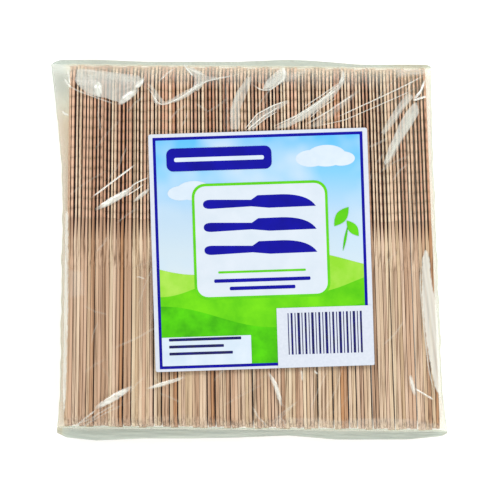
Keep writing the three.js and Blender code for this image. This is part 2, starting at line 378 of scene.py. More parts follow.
def knife_rim():
    line = without_repeats(edge_line)
    distance = along(line)
    first = np.interp(TOOTHED_FROM, line[:, 0], distance)
    teeth = int((distance[-1] - TOOTHLESS_TIP - first) / TOOTH_PITCH)
    toothed = first + np.arange(teeth * TOOTH_STEPS) / TOOTH_STEPS * TOOTH_PITCH
    plain = [d for d in distance if d < first - TOOTH_CLEARANCE or d > first + teeth * TOOTH_PITCH]
    stations = np.sort(np.concatenate([toothed, plain]))
    rim = resample(line, stations)
    turn = (stations - first) / TOOTH_PITCH
    inside = (turn >= 0) & (turn < teeth)
    turns = turn + np.arange(TOOTH_STEPS)[:, None] / TOOTH_STEPS
    bites = (1 - np.abs(np.sin(np.pi * turns))) ** TOOTH_ROUNDNESS * inside
    bites[:, np.abs(turn) < 1e-6] = FIRST_BITE
    ground = rising(rim[:, 0], HEEL, BEVEL_RUNOUT) * rising(-stations, -distance[-1], BEVEL_TIP)
    return rim, bites, ground


rim, rim_bites, rim_ground = knife_rim()
back_rim = without_repeats(back_line)[1:-1]
outline = np.vstack([rim, back_rim])
outline_in = inward(np.vstack([outline[-1:], outline, outline[:1]]))[1:-1]
bites = np.hstack([rim_bites, np.zeros((TOOTH_STEPS, len(back_rim)))])
grounds = np.concatenate([rim_ground, np.zeros(len(back_rim))])
print("one knife's rim has", len(outline), "points")

# %% [markdown]
# ## One knife as a stack of outlines
# Each knife is four outlines in a stack: the two flat faces, and the two lines where the edge starts. Faces
# between neighbouring outlines close it. On the flat faces the outline is drawn in by the bevel's reach,
# and on the edge lines it is bitten by the teeth. A trim lowers the upper half only, for a knife that was
# stamped a little narrow.

# %% Shape one knife
BEVEL_REACH = 6 * MM
SOFT_REACH = 0.14 * MM
SOFT_EDGE = 0.1 * MM


def knife_points(edge_left, edge_right, trim, shave, bitten):
    half = KNIFE_THICKNESS / 2 - shave
    soft = half - SOFT_EDGE
    reach = SOFT_REACH + (BEVEL_REACH - SOFT_REACH) * grounds
    inner = outline + outline_in * reach[:, None]
    toothed = outline + outline_in * TOOTH_DEPTH * bitten[:, None]
    face = np.full(len(outline), half)
    left = -(soft + (edge_left - soft) * grounds)
    right = soft + (edge_right - soft) * grounds
    layers = [(-face, inner), (left, toothed), (right, toothed), (face, inner)]
    points = np.vstack([np.column_stack([x, yz]) for x, yz in layers])
    upper_half = points[:, 2] > BLADE_HEIGHT / 2
    points[:, 2] = np.maximum(points[:, 2] - trim * upper_half, 0)
    return points


def knife_faces():
    n = len(outline)
    faces = [tuple(range(n)), tuple(range(4 * n - 1, 3 * n - 1, -1))]
    for layer in range(3):
        for i in range(n):
            a, b = layer * n + i, layer * n + (i + 1) % n
            faces.append((a, a + n, b + n, b))
    return faces


KNIFE_FACES = knife_faces()
print("one knife has", len(KNIFE_FACES), "faces")

# %% [markdown]
# ## Sawn edges, ground bevels and deep gaps
# Two numbers on every corner of a knife steer its wood. "Sawn" is full on the edges, where the veneer's
# layers show as lines, and weaker on the flat faces. "Ground" is above 0 on the pale ground edge, and it
# also carries painted shade. Between two blades little light arrives, so on the facing bevels it is set
# below 0, which paints the wood dark red, and in the notches it is lowered, a painted shade as well. The two
# outermost flanks of the row are in the open and get no painted shade.

# %% Note the finish of a knife
NOTCH_SHADE = 1.1
FACE_LINES = 0.45


def note_finish(knife, index, bitten):
    corners = np.zeros(len(knife.data.loops), int)
    knife.data.loops.foreach_get("vertex_index", corners)
    on_edges = np.arange(len(corners)) >= 2 * len(outline)
    # Painted shade: the facing bevels go below 0 and the notches are lowered, which paints them dark red.
    left_side = grounds if index == 0 else -grounds
    right_side = grounds if index == KNIFE_COUNT - 1 else -grounds
    toothed = grounds - NOTCH_SHADE * bitten
    shades = np.concatenate([left_side, toothed, toothed, right_side])
    note(knife, "ground", shades[corners] * on_edges, "CORNER")
    note(knife, "sawn", FACE_LINES + (1 - FACE_LINES) * on_edges, "CORNER")


print("the deepest notch is shaded by", round(NOTCH_SHADE * bites.max(), 2))

# %% [markdown]
# ## A hundred knives
# Small differences make a row real: the stamping, the grinding and the way a knife slid into the bag are
# never quite the same. The random numbers come from a seed, so every run gives the same bag. The first ten
# knives have their notches a third of a step away from their neighbours, as if they came from another
# batch, and from there the notches drift slowly along the row. The row leans a little, as in a soft bag, so
# that nobody looks straight down the gaps, and only the last knives stand upright against the film.

# %% Stand the knives in the row
SEED = 4
ROW_LEAN = 0.04
UPRIGHT_KNIVES = 8
OTHER_BATCH = 10
NOTCH_SLIDES = (4.2, 1.2)
THIN_EDGE = (0.25, 0.56)
THINNEST_EDGE = 0.15 * MM
GRINDING_SLIP = 0.22
STAMPING_TRIM = 0.12
SECOND_TRIM = 0.25 * MM
LEAST_SHAVE, MORE_SHAVE = 0.02, 0.18
END_SLIP = 0.2
rng = random.Random(SEED)


def stand_knife(index):
    pair, side = divmod(index, 2)
    tip, butt, middle = row[pair]
    thin = rng.uniform(*THIN_EDGE) * MM
    lean = rng.uniform(-GRINDING_SLIP, GRINDING_SLIP) * MM
    trim = rng.uniform(0, STAMPING_TRIM) * MM + SECOND_TRIM * side
    shave = (LEAST_SHAVE + MORE_SHAVE * rng.random() ** 3) * MM
    slide = round(np.interp(index, (OTHER_BATCH, KNIFE_COUNT), NOTCH_SLIDES))
    bitten = bites[0 if index < OTHER_BATCH else slide]
    edges = [max(thin + slip, THINNEST_EDGE) for slip in (lean, -lean)]
    points = knife_points(*edges, trim, shave, bitten)
    share = points[:, 1] / KNIFE_LENGTH + 0.5
    points[:, 0] += butt + (tip - butt) * share + (side - 0.5) * KNIFE_THICKNESS
    points[:, 1] += middle + rng.uniform(-END_SLIP, END_SLIP) * MM
    points[:, 2] += FILM
    row_lean = ROW_LEAN * min(1, (KNIFE_COUNT - 1 - index) / UPRIGHT_KNIVES)
    points[:, 0] -= row_lean * (points[:, 2] - BLADE_HEIGHT / 2)
    knife = make_piece(f"knife_{index + 1:03d}", points, KNIFE_FACES, [birch])
    note(knife, "tone", [rng.random()] * len(points))
    note_finish(knife, index, bitten)
    return knife


knives = [stand_knife(i) for i in range(KNIFE_COUNT)]
for i, name in enumerate(pairs):
    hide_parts(name)
    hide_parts(name)
print("made", len(knives), "knives of", len(knives[0].data.polygons), "faces")

# %% [markdown]
# ## The film's surface
# The bag is a tube laid flat. Across each end it is welded into a seal that stands out at mid-depth, and at
# the corners the seal sticks out as ears. We build it as rings round the tube's girth: a fine row of points
# across the front, a few over each bulging side, and a coarser row across the back. Film is so thin that
# one layer of faces is enough, and it keeps light from being bent twice. First come the rings' heights
# along the bag: a curve round each end, a few rings over each seal, and even steps between.

# %% Lay the rings of the bag
BODY_ROWS = 214
END_STEPS = 12
SEAL_STEPS = 6
FRONT_HEIGHT = 21.25 * MM
BACK_HEIGHT = 0.14 * MM
END_ROOM = 0.4 * MM
SEAL_REACH = {1: 1.95 * MM, -1: 4.55 * MM}
SEAL_HEIGHT = {1: FILM + TIP_HEIGHT, -1: FILM + BUTT_HEIGHT / 2}
FRONT_ROUND = {1: TIP_CURVE, -1: BUTT_ROUND}
BACK_ROUND = {1: TIP_BACK, -1: BUTT_ROUND}
PLY = 0.05 * MM


def end_rows(way):
    reach = KNIFE_END + END_ROOM
    welded = np.linspace(0, 1, SEAL_STEPS + 1)[1:]
    out = reach + welded * SEAL_REACH[way]

    def one_side(height, run, level):
        curve = bend((reach - run, height), (reach, height), (reach, level), END_STEPS)
        return np.vstack([curve, np.column_stack([out, np.full(SEAL_STEPS, level)])])

    front = one_side(FRONT_HEIGHT, FRONT_ROUND[way], SEAL_HEIGHT[way] + PLY)
    back = one_side(BACK_HEIGHT, BACK_ROUND[way], SEAL_HEIGHT[way] - PLY)
    curl = np.concatenate([np.linspace(0, 1, END_STEPS + 1), np.ones(SEAL_STEPS)])
    weld = np.concatenate([np.zeros(END_STEPS + 1), welded])
    ways = np.full(len(curl), way)
    return np.column_stack([way * front[:, 0], front[:, 1], way * back[:, 0], back[:, 1], curl, weld, ways])


butt_rows = end_rows(-1)[::-1]
tip_rows = end_rows(1)
steps = np.linspace(0, 1, BODY_ROWS + 1)[1:-1, None]
body_rows = butt_rows[-1] + (tip_rows[0] - butt_rows[-1]) * steps
rows = np.vstack([butt_rows, body_rows, tip_rows])
front_y, front_z, back_y, back_z, curl, weld, way = rows.T
print("the bag has", len(rows), "rings")

# %% [markdown]
# ## Ears and bulging sides
# The sides bulge out halfway down and run into the ears at the corners. Each ear has its own reach and
# length, as in the photograph. Sums of a few sine waves at odd spacings give ripples that never seem to
# repeat, and they are quick to work out for many points at once.

# %% Work out how far the sides bulge
SIDE_ROOM = 0.5 * MM
SIDE_PUFF = {"left": 2.1 * MM, "right": 1.5 * MM}
SIDE_RIPPLE = 0.35 * MM
SIDE_SEED = {"left": 11, "right": 12}
EAR_REACH = {"left": (8.2, 3.2), "right": (2.3, 3.0)}
EAR_LENGTH = {"left": (60, 14), "right": (34, 20)}
EAR_SWEEP = 1.4


def waves(t, seed, *lengths):
    shift = random.Random(seed)
    parts = [np.sin(2 * np.pi * t / (length * MM) + shift.uniform(0, 6.28)) for length in lengths]
    return sum(parts) / len(lengths)


def side_face(y, side):
    tip, butt = (row[0, :2] - KNIFE_THICKNESS) if side == "left" else (row[-1, :2] + KNIFE_THICKNESS)
    face = butt + (tip - butt) * rising(y, -KNIFE_END, KNIFE_LENGTH)
    return face - SIDE_ROOM if side == "left" else face + SIDE_ROOM


def puff(y, side):
    ear = np.where(y > 0, *EAR_REACH[side]) * MM
    length = np.where(y > 0, *EAR_LENGTH[side]) * MM
    share = np.clip((np.abs(y) - KNIFE_END) / length + 1, 0, 1)
    ripple = SIDE_RIPPLE * waves(y, SIDE_SEED[side], 31, 17, 9.5)
    return SIDE_PUFF[side] + (ear - SIDE_PUFF[side]) * share ** EAR_SWEEP + ripple * (1 - share)


middle_bulge = puff(np.zeros(1), "left")[0]
print("at half length the left side bulges", round(middle_bulge / MM, 1), "mm")

# %% [markdown]
# The front and the back are grids between the two sides' faces. Each side is a short arc from the front's
# last point to the back's first, pushed out by the bulge. Put side by side, the four make whole rings.

# %% Close the rings
FRONT_COLUMNS = 290
BACK_COLUMNS = 60
SIDE_STEPS = 9
SIDE_FULLNESS = 0.75


def sheet_points(y, z, start, end, columns):
    left, right = side_face(y, "left"), side_face(y, "right")
    x = left[:, None] + (right - left)[:, None] * np.linspace(start, end, columns)
    return np.stack([x, np.repeat(y[:, None], columns, 1), np.repeat(z[:, None], columns, 1)], 2)


def side_points(front_corner, back_corner, side):
    share = np.linspace(0, 1, SIDE_STEPS + 2)[1:-1]
    if side == "left":
        share = share[::-1]
    base = front_corner[:, None] + (back_corner - front_corner)[:, None] * share[None, :, None]
    out = puff(base[:, :, 1], side) * np.sin(np.pi * share) ** SIDE_FULLNESS
    base[:, :, 0] += out if side == "right" else -out
    return base


front = sheet_points(front_y, front_z, 0, 1, FRONT_COLUMNS)
back = sheet_points(back_y, back_z, 1, 0, BACK_COLUMNS)
right_side = side_points(front[:, -1], back[:, 0], "right")
left_side = side_points(front[:, 0], back[:, -1], "left")
bag = np.concatenate([front, right_side, back, left_side], axis=1)
print("the bag has", bag.shape[0] * bag.shape[1], "points")

# %% [markdown]
# ## Creases and veils, drawn one by one
# Film that was pulled tight keeps sharp creases where it gathered, and they catch the light. That light is
# painted: streaks and flashes are ridges with a painted highlight laid on, and veils are painted
# reflections. Three kinds can be told apart. Streaks are thin and even. Flashes are short and leaf-shaped,
# wide in the middle. Veils are broad pale patches. Each one is drawn over the picture: a streak or a flash as
# a path with its height and half width in millimetres and its painted brightness, and a veil as its corners
# with its painted brightness and the width of its soft rim.

# %% Draw the creases and veils
STREAKS = [
    ([(91, 198), (112, 182), (136, 164)], 0.4, 0.5, 0.85),
    ([(122, 194), (136, 183), (149, 177)], 0.4, 0.4, 0.8),
    ([(124, 197), (134, 191), (144, 184)], 0.3, 0.3, 0.7),
    ([(158, 82), (166, 74), (175, 68)], 0.35, 0.5, 0.5),
    ([(142, 85), (151, 90), (156, 103), (163, 106), (183, 96), (205, 81), (240, 74)], 0.5, 0.5, 0.65),
    ([(183, 63), (187, 69), (193, 76)], 0.4, 0.5, 0.9),
    ([(64, 78), (68, 84), (71, 88)], 0.4, 0.6, 0.95),
    ([(67, 69), (69, 77), (70, 85)], 0.4, 0.4, 0.85),
    ([(62, 111), (65, 114), (69, 115)], 0.4, 0.6, 0.9),
    ([(60, 80), (76, 90), (97, 98), (118, 105)], 0.4, 0.4, 0.45),
    ([(252, 84), (261, 90), (270, 90), (281, 82), (284, 72), (281, 67)], 0.4, 0.4, 0.7),
    ([(244, 130), (257, 114), (272, 106), (288, 100)], 0.5, 0.4, 0.85),
    ([(246, 131), (262, 117), (280, 106)], 0.4, 0.4, 0.8),
    ([(251, 130), (266, 118), (278, 111)], 0.4, 0.35, 0.6),
    ([(272, 127), (300, 114), (325, 97), (342, 81)], 0.5, 0.45, 0.7),
    ([(285, 126), (310, 109), (343, 85)], 0.4, 0.4, 0.6),
    ([(302, 108), (322, 95), (340, 82)], 0.4, 0.35, 0.55),
    ([(305, 125), (327, 112), (357, 92)], 0.4, 0.5, 0.5),
    ([(308, 120), (320, 108), (338, 97)], 0.3, 0.35, 0.4),
    ([(312, 127), (345, 120), (370, 109), (400, 96), (418, 87)], 0.4, 0.3, 0.6),
    ([(335, 118), (370, 102), (400, 88), (427, 74)], 0.5, 0.35, 0.75),
    ([(413, 101), (420, 98), (427, 96)], 0.5, 0.6, 0.9),
    ([(413, 100), (421, 91), (425, 79)], 0.5, 0.7, 0.95),
    ([(69, 432), (83, 420), (97, 409)], 0.4, 0.5, 0.5),
    ([(66, 428), (88, 420), (118, 402)], 0.3, 0.4, 0.3),
    ([(72, 434), (100, 416), (124, 404)], 0.3, 0.35, 0.25),
    ([(301, 370), (302, 375), (302, 381)], 0.3, 0.5, 0.7),
    ([(314, 370), (316, 373), (318, 374)], 0.3, 0.5, 0.7),
    ([(414, 388), (424, 394), (434, 400)], 0.4, 0.5, 0.8),
    ([(252, 406), (258, 417), (268, 427)], 0.3, 0.5, 0.3),
    ([(278, 416), (284, 421), (286, 427)], 0.3, 0.4, 0.25),
    ([(136, 277), (140, 277), (145, 279)], 0.2, 0.4, 0.5),
    ([(421, 258), (420, 285), (424, 330), (429, 372), (436, 398)], 0.4, 0.4, 0.6),
]
FLASHES = [
    ([(95, 210), (118, 197), (134, 187)], 0.7, 1.7, 0.95),
    ([(133, 202), (142, 195), (150, 188)], 0.4, 1.1, 0.7),
    ([(118, 105), (127, 97), (139, 89)], 0.8, 1.9, 0.95),
    ([(134, 89), (140, 84), (144, 77)], 0.6, 1.3, 0.95),
    ([(96, 83), (97, 90), (99, 98)], 0.5, 1.5, 0.95),
    ([(102, 83), (100, 88), (101, 96)], 0.4, 1.2, 0.9),
    ([(186, 67), (195, 71), (206, 76)], 0.4, 1.1, 0.7),
    ([(156, 92), (154, 98), (158, 106)], 0.4, 1.0, 0.5),
    ([(172, 103), (188, 94), (206, 79)], 0.4, 1.2, 0.5),
    ([(282, 64), (285, 74), (282, 83)], 0.4, 1.2, 0.9),
    ([(339, 84), (343, 78), (343, 70)], 0.4, 1.1, 0.9),
    ([(94, 409), (113, 398), (133, 386)], 0.7, 1.8, 0.95),
    ([(146, 389), (166, 383), (185, 377)], 0.5, 1.1, 0.85),
    ([(268, 371), (276, 386), (282, 407)], 0.5, 1.2, 0.85),
    ([(410, 374), (412, 384), (415, 396)], 0.5, 1.2, 0.85),
    ([(418, 105), (409, 121), (398, 142), (385, 170)], 0.15, 1.8, 0.36),
    ([(417, 108), (411, 118), (403, 131)], 0.15, 1.5, 0.4),
    ([(400, 134), (393, 150), (386, 167)], 0.15, 1.0, 0.5),
    ([(413, 93), (402, 108), (391, 124), (382, 137)], 0.15, 1.3, 0.42),
    ([(233, 130), (232, 110), (239, 92), (251, 77)], 0.15, 1.4, 0.4),
    ([(264, 90), (273, 82), (285, 70)], 0.15, 1.7, 0.5),
    ([(286, 127), (312, 110), (345, 80)], 0.15, 1.5, 0.45),
]
VEILS = [
    ([(77, 67), (141, 75), (142, 84), (121, 104), (104, 98), (88, 96), (74, 82)], 0.42, 0.4),
    ([(82, 68), (138, 76), (134, 83), (100, 80), (84, 76)], 0.3, 0.8),
    ([(78, 70), (92, 74), (101, 84), (101, 97), (90, 95), (76, 83)], 0.34, 0.6),
    ([(96, 81), (101, 81), (102, 88), (101, 95), (97, 95), (96, 88)], 0.8, 0.5),
    ([(146, 83), (152, 93), (157, 100), (163, 105), (168, 104), (163, 99), (158, 92),
      (152, 84)], 0.3, 0.4),
    ([(163, 105), (174, 103), (188, 96), (201, 87), (206, 80), (196, 84), (182, 92), (171, 98),
      (165, 101)], 0.3, 0.4),
    ([(182, 63), (190, 64), (198, 70), (203, 76), (196, 79), (190, 74)], 0.4, 0.5),
    ([(195, 74), (217, 76), (220, 80), (207, 82), (197, 92), (192, 88)], 0.34, 0.4),
    ([(229, 130), (230, 108), (237, 90), (247, 76), (253, 76), (249, 90), (241, 108),
      (240, 130)], 0.3, 0.4),
    ([(262, 90), (265, 81), (275, 72), (282, 66), (285, 75), (282, 83), (272, 89)], 0.5, 0.4),
    ([(262, 82), (290, 72), (310, 68), (316, 69), (292, 82), (284, 84)], 0.24, 1.4),
    ([(246, 131), (254, 118), (270, 106), (289, 99), (290, 103), (275, 112), (262, 122),
      (254, 131)], 0.3, 0.4),
    ([(272, 129), (300, 112), (330, 92), (342, 78), (347, 80), (334, 98), (305, 120),
      (285, 129)], 0.34, 0.4),
    ([(303, 129), (330, 109), (358, 88), (361, 92), (335, 116), (320, 128)], 0.2, 1.4),
    ([(417, 100), (420, 112), (412, 127), (401, 142), (391, 158), (385, 168), (383, 163), (388, 147),
      (396, 129), (405, 112), (411, 105)], 0.5, 0.5),
    ([(408, 91), (415, 97), (405, 108), (395, 120), (384, 136), (380, 133), (388, 118),
      (398, 103)], 0.36, 0.7),
    ([(392, 67), (430, 67), (428, 75), (396, 79)], 0.26, 1.4),
    ([(421, 260), (425, 246), (430, 254), (432, 280), (437, 304), (440, 330), (442, 402), (434, 388),
      (426, 345), (421, 300)], 0.62, 0.6),
    ([(62, 214), (69, 206), (69, 300), (68, 350), (66.5, 400), (64, 420), (62, 400)], 0.6, 0.5),
    ([(66, 268), (84, 270), (86, 296), (68, 300)], 0.1, 1.4),
]
print("drew", len(STREAKS), "streaks,", len(FLASHES), "flashes and", len(VEILS), "veils")

# %% [markdown]
# ## From the picture onto the film
# The camera looks straight down and shows no perspective, so a pixel turns into a place by one scale. Under
# the label the film is pressed flat, and a crease fades out at its ends, so three helpers measure how far a
# point is from a path, from the path's ends and from the label.

# %% Measure on the film
PICTURE_PIXELS = 500
PIXEL = PICTURE_SPAN / PICTURE_PIXELS
PICTURE_MIDDLE = (249, 250.5)
LABEL_LOW, LABEL_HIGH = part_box("label")
LABEL_PLACE = ((LABEL_LOW[0] + LABEL_HIGH[0]) / 2, (LABEL_LOW[1] + LABEL_HIGH[1]) / 2)
LABEL_TURN = math.radians(1.85)
LABEL_WIDTH = 100 * MM
LABEL_HEIGHT = 108.5 * MM
LABEL_MARGIN = 1.2 * MM
FADE_LENGTH = 4 * MM
FADED = 0.25


def from_picture(path):
    return np.array([((px - PICTURE_MIDDLE[0]) * PIXEL, (PICTURE_MIDDLE[1] - py) * PIXEL) for px, py in path])


def distance_to(path, points):
    near = np.full(len(points), np.inf)
    for a, b in zip(path[:-1], path[1:]):
        step = b - a
        t = np.clip(((points - a) @ step) / (step @ step), 0, 1)
        near = np.minimum(near, np.linalg.norm(points - a - t[:, None] * step, axis=1))
    return near


def fading(path, points):
    ends = np.minimum(np.linalg.norm(points - path[0], axis=1), np.linalg.norm(points - path[-1], axis=1))
    return np.clip(ends / FADE_LENGTH, FADED, 1)


def off_label(points):
    c, s = math.cos(LABEL_TURN), math.sin(LABEL_TURN)
    local = (points - np.array(LABEL_PLACE)) @ np.array([[c, -s], [s, c]])
    out = np.maximum(np.abs(local[:, 0]) - LABEL_WIDTH / 2, np.abs(local[:, 1]) - LABEL_HEIGHT / 2)
    return np.clip(out / LABEL_MARGIN, 0, 1)


print("one pixel of the picture is", round(PIXEL / MM, 2), "mm")

# %% [markdown]
# Between the drawn creases lie many faint ones that the eye takes in only as a slight liveliness. They are
# strewn at random, mostly slanting the same way as the drawn ones. Each has a random slant, length, sag,
# height, width and painted brightness, all from a seed, and that brightness is a painted highlight.

# %% Strew the faint creases
FAINT_COUNT = 90
FAINT_REACH = 76
FAINT_SLANTS = (38, 38, 60, -35, 80)
FAINT_SWAY = 14
FAINT_HALF = (3, 13)
FAINT_SAG = 0.15
FAINT_HEIGHT = (0.08, 0.25)
FAINT_WIDTH = (0.4, 0.7)
FAINT_SHEEN = (0.03, 0.2)


def placed(drawn):
    return [(from_picture(path), *rest) for path, *rest in drawn]


def faint_creases():
    strew = random.Random(SEED)
    for _ in range(FAINT_COUNT):
        x, y = strew.uniform(-FAINT_REACH, FAINT_REACH) * MM, strew.uniform(-FAINT_REACH, FAINT_REACH) * MM
        slant = math.radians(strew.choice(FAINT_SLANTS) + strew.uniform(-FAINT_SWAY, FAINT_SWAY))
        half = strew.uniform(*FAINT_HALF) * MM
        step = np.array([math.cos(slant), math.sin(slant)]) * half
        sag = np.array([-step[1], step[0]]) * strew.uniform(-FAINT_SAG, FAINT_SAG)
        middle = np.array([x, y])
        path = np.array([middle - step, middle + sag, middle + step])
        yield path, strew.uniform(*FAINT_HEIGHT), strew.uniform(*FAINT_WIDTH), strew.uniform(*FAINT_SHEEN)


streaks = placed(STREAKS) + list(faint_creases())
flashes = placed(FLASHES)
print("the film has", len(streaks) + len(flashes), "creases, faint ones included")

# %% [markdown]
# ## Ridges in the film
# A crease is first of all a shape: the film itself rises to a soft ridge along each path. Each point of the
# film takes the height of the highest ridge near it. The bright line of a crease needs a crisper rim than
# the film's own points can give, so it is laid on later as a strip of its own, a painted highlight.

# %% Raise the ridges
RIDGE_WIDTH = 1.5
RIDGE_HEIGHT = 0.7
RIDGE_FALL = 1.6


def ridge_heights(points):
    lift = np.zeros(len(points))
    for path, high, wide, _ in streaks + flashes:
        near = distance_to(path, points) / (RIDGE_WIDTH * wide * MM)
        ridge = RIDGE_HEIGHT * high * MM * np.exp(-near ** RIDGE_FALL) * fading(path, points)
        lift = np.maximum(lift, ridge)
    return lift


def row_skew(x):
    return ROW_MIDDLE + ROW_SLIP * x


flat = bag.reshape(-1, 3)
shifted = flat.copy()
shifted[:, 1] += row_skew(flat[:, 0])
on_front = np.tile(np.arange(bag.shape[1]) < FRONT_COLUMNS, len(rows))
lift = np.zeros(len(flat))
lift[on_front] = ridge_heights(shifted[on_front, :2]) * off_label(shifted[on_front, :2])
print("the highest ridge is", round(lift.max() / MM, 2), "mm")

# %% [markdown]
# ## Puckered ends
# The flat seal is wider than the pack, so the film gathers into puckers where it curves down to the seal.
# Each seal also ends in its own crooked edge. Both edges are drawn on the picture, and the seal's rings are
# pulled out to them.

# %% Pucker the ends and draw out the seals
SEAL_EDGES = {
    1: [(51, 64), (54, 61), (60, 59), (96, 59), (120, 60), (144, 61), (240, 61), (264, 60), (288, 59),
        (312, 60), (336, 62), (360, 64), (428, 64), (431, 66)],
    -1: [(56, 433), (60, 435), (66, 438), (96, 441), (120, 440), (144, 439), (192, 439), (240, 438),
         (264, 437), (288, 436), (312, 438), (336, 440), (408, 440), (428, 438), (440, 437), (444, 436),
         (447, 434)],
}
PUCKER_DEPTH = 0.28
SEAL_WAVE = 0.6


def spread(values):
    return np.repeat(values[:, None], bag.shape[1], 1).ravel()


curls, welds, ways = spread(curl), spread(weld), spread(np.sign(way))
pucker = 0.5 + 0.5 * waves(flat[:, 0], 21, 13, 7.7, 4.9)
shifted[:, 1] += np.sign(flat[:, 1]) * curls * PUCKER_DEPTH * MM * pucker
for end, drawn in SEAL_EDGES.items():
    edge = from_picture(drawn)
    on_seal = (welds > 0) & (ways == end)
    x = flat[on_seal, 0]
    start = end * (KNIFE_END + END_ROOM + PUCKER_DEPTH * MM * pucker[on_seal]) + row_skew(x)
    shifted[on_seal, 1] = start + welds[on_seal] * (np.interp(x, edge[:, 0], edge[:, 1]) - start)
shifted[:, 2] += welds * SEAL_WAVE * MM * waves(flat[:, 0], 23, 84, 37, 15)
shifted[:, 2] += lift
print("the bag runs over", round(np.ptp(shifted[:, 1]) / MM, 1), "mm from seal edge to seal edge")

# %% [markdown]
# ## Where the film is milky, and where light is painted on it
# Clear film turns milky where two layers are welded and where it is gathered. Down the sides, where we look
# through it edge on, the haze is part milk and part painted sheen, and on the puckers at the ends and the
# folds down the sides it is a painted highlight. Every point gets a haze from 0, clear, to 1, white. There is
# one haze for each reason, and the strongest one wins. Over the blades on the right a thin warm haze, part
# haze and part painted light, makes them lighter, and the film is hazier in a band over the handles' ends.

# %% Note the haze
CLEAR_HAZE = 0.004
FOLD_SLANT = 110 * MM
EAR_FOOT, EAR_FADE = 72 * MM, 16 * MM
RIGHT_START, RIGHT_FADE = 56 * MM, 14 * MM
BLADES_START, BLADES_FADE = 8 * MM, 8 * MM
TIPS_START, TIPS_FADE = 60 * MM, 12 * MM
BAND_WIDTH, BAND_WAVE, BAND_FADE = 4.6, 1.6, 0.6 * MM
BAND_LEFT, BAND_SPAN = -24 * MM, 60 * MM
BUTT_SEAL_MILK, TIP_SEAL_MILK = (0.33, 0.22), (0.16, 0.05)
# Pucker and fold values set painted highlights, the side values part milk and part painted sheen, and the
# blade values a haze that also paints the right blades lighter.
PUCKER_HIGHLIGHT, TIP_MILK, FOLD_HIGHLIGHT = (0.02, 0.09), 0.34, (0.08, 0.4)
LEFT_MILK_AND_SHEEN, RIGHT_MILK_AND_SHEEN = (0.26, 0.34), 0.3
RIGHT_BLADE_HAZE_AND_LIGHT, BAND_MILK, BAND_SHARE = (0.045, 0.09), 0.13, (0.4, 0.6)


def graded(strength, share):
    least, more = strength
    return least + more * share


ring_sides = np.repeat([0, 1, 0, -1], [FRONT_COLUMNS, SIDE_STEPS + 1, BACK_COLUMNS - 2, SIDE_STEPS + 1])
side = np.tile(ring_sides, len(rows))
x, y, z = flat.T
seal_fold = waves(x + FOLD_SLANT * welds, 26, 140, 63, 29)
side_fold = waves(y + 0.8 * z, 25, 29, 13, 7)
band_reach = (BAND_WIDTH + BAND_WAVE * waves(x, 24, 90, 47)) * MM
below_ear = rising(-y, -EAR_FOOT, EAR_FADE)
low_side = rising(-z / FRONT_HEIGHT, -0.62, 0.3)
over_right_blades = on_front * rising(x, RIGHT_START, RIGHT_FADE) * rising(y, BLADES_START, BLADES_FADE)
over_butts = on_front * rising(band_reach - y, KNIFE_END, BAND_FADE)
seal_milks = [graded(milk_and_sheen, seal_fold) for milk_and_sheen in (BUTT_SEAL_MILK, TIP_SEAL_MILK)]
seal_haze = np.where(ways < 0, *seal_milks) * (welds > 0)
# Painted light: highlights on the puckers and folds, sheen down the sides, and a lightening over the right
# blades.
painted_pucker_highlight = graded(PUCKER_HIGHLIGHT, pucker ** 3) * rising(curls, 0.1, 1 / 3)
tip_haze = TIP_MILK * (ways > 0) * rising(curls - 0.15 * pucker, 0.05, 0.45)
painted_fold_highlight = graded(FOLD_HIGHLIGHT, np.clip(side_fold - 0.35, 0, 0.5)) * np.abs(side)
side_milk_and_sheen = low_side * np.where(side < 0, graded(LEFT_MILK_AND_SHEEN, below_ear), RIGHT_MILK_AND_SHEEN) * np.abs(side)
right_blade_haze_and_light = over_right_blades * graded(RIGHT_BLADE_HAZE_AND_LIGHT, rising(y, TIPS_START, TIPS_FADE))
butt_haze = over_butts * BAND_MILK * graded(BAND_SHARE, rising(x, BAND_LEFT, BAND_SPAN))
reasons = [seal_haze, painted_pucker_highlight, tip_haze, painted_fold_highlight, side_milk_and_sheen, right_blade_haze_and_light, butt_haze]
haze_and_sheen = np.maximum(np.maximum.reduce(reasons), CLEAR_HAZE)
print("a tenth of the film is hazier than", round(np.quantile(haze_and_sheen, 0.9), 2))

# %% [markdown]
# Haze over wood looks warm, because the wood's light shines into it, and haze over the white ground looks
# cool and a little green. That warm light is painted bounce light, set in the milk's colour. Two more numbers
# say which: the painted warm bounce of the milky film, and how much the clear film tints what lies behind it,
# as it does in the doubled seals, where the tint is partly two layers of film and partly painted shade.

# %% Note the painted warm bounce and the tint
# Painted bounce light: where the milk lies over wood, its colour is warmed.
painted_wood_bounce = np.maximum.reduce([
    np.where(side < 0, below_ear, 0.4 * side),
    0.9 * rising(curls, 0.3, 0.4) * (welds == 0) * (side == 0),
    over_right_blades * (side == 0),
])
# The tint darkens the seals, partly as two layers of film and partly as painted shade.
film_tint_and_shade = np.maximum(1.0 * (welds > 0), 0.5 * (1 - below_ear) * (side < 0))
print(round(100 * np.mean(painted_wood_bounce > 0.5)), "percent of the film is warm")

# %% [markdown]
# ## The film's material
# Thin film doesn't bend light, so it is a see-through shader with a little gloss on top, stronger at a
# glancing angle, and not a block of glass. A milky shader is blended in by the haze. It scatters light back
# and also lets some through. A fine noise in the bump keeps the gloss from being a perfect mirror.

# %% Mix the clear film
THROUGH_SHARE = 0.15
GLANCE_POWER = 4
FLAT_MIRROR, GLANCE_MIRROR = 0.012, 0.4


def blend(tree, fac, first, second):
    return add(tree, "MixShader", {0: fac, 1: first, 2: second})["Shader"]


def bare_material(name):
    material, tree, unused = new_material(name)
    tree.nodes.remove(unused)
    return material, tree, tree.nodes["Material Output"]


